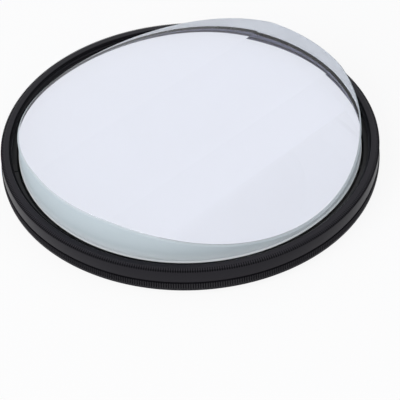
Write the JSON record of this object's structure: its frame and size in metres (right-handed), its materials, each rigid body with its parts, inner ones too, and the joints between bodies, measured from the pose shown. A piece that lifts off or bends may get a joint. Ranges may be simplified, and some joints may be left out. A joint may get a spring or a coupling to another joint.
{
  "type": "screw in lens filter",
  "caption": "Round screw-in lens filter: a thick glass prism with a flat strip between two rounded sides, in a black mount whose front ring turns on a threaded rear ring.",
  "frame": {"origin": "centre of the male thread's end face, on which the filter stands", "axes": "+Z along the optical axis, away from the lens; +X along the flat strip of the prism"},
  "size_m": [0.0814, 0.0814, 0.0135],
  "materials": {
    "ring_black": "satin black anodised",
    "retainer_black": "matt black anodised",
    "optical_glass": "polished top and back, ground wall",
    "spring_wire": "drawn spring wire"
  },
  "bodies": {
    "rear": {"rear_ring": "ring_black", "snap_ring": "spring_wire"},
    "front": {"front_ring": "ring_black", "glass_prism": "optical_glass", "retaining_ring": "retainer_black"}
  },
  "joints": [
    {"name": "front_ring_turn", "type": "hinge", "parent": "rear", "child": "front", "pos_m": [0, 0, 0.0032], "axis": [0, 0, 1], "continuous": true}
  ]
}
